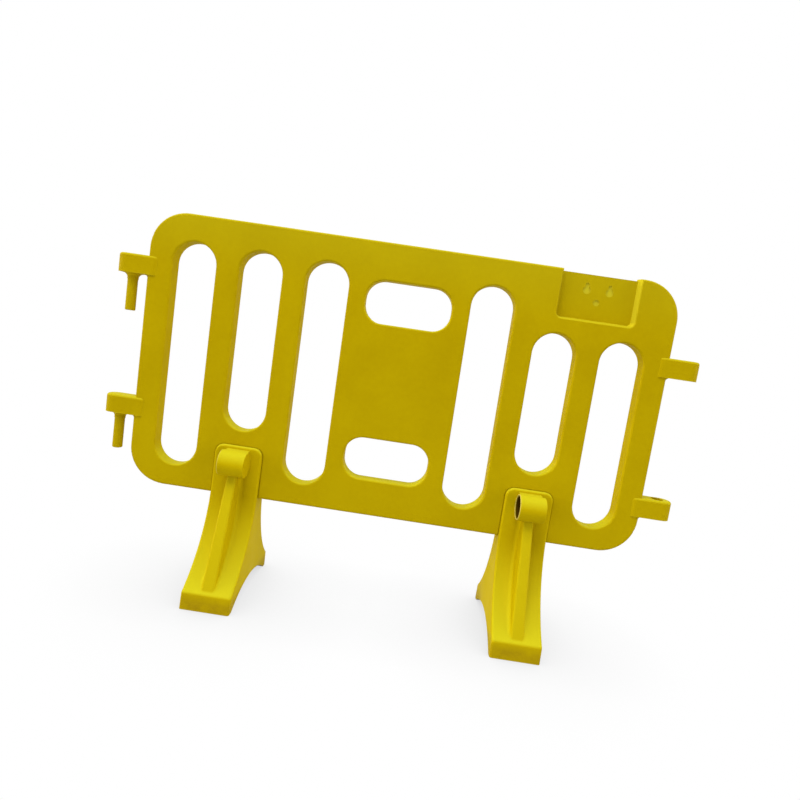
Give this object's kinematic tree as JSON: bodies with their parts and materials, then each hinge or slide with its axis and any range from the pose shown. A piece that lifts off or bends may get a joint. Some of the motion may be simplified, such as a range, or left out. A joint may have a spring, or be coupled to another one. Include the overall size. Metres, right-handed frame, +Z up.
{
  "type": "plastic safety barrier",
  "caption": "Free-standing moulded plastic barrier panel with upright slots, hook pins and eyes that link a row, a lamp seat, and arched feet that push up into seats in its lower edge.",
  "frame": {"origin": "on the floor, below the middle of the panel's length and thickness", "axes": "+X along the barrier from the hook end to the eye end, -Y to the front with the filling mouths, +Z up"},
  "size_m": [1.5678, 0.336, 1],
  "materials": {
    "panel": "moulded",
    "foot": "moulded"
  },
  "bodies": {
    "panel": {"panel": "panel"},
    "left_foot": {"left_foot": "foot"},
    "right_foot": {"right_foot": "foot"}
  },
  "joints": [
    {"name": "left_foot_slide", "type": "slide", "parent": "panel", "child": "left_foot", "axis": [0, 0, -1], "range_m": [0, 0.15]},
    {"name": "right_foot_slide", "type": "slide", "parent": "panel", "child": "right_foot", "axis": [0, 0, -1], "range_m": [0, 0.15]}
  ]
}
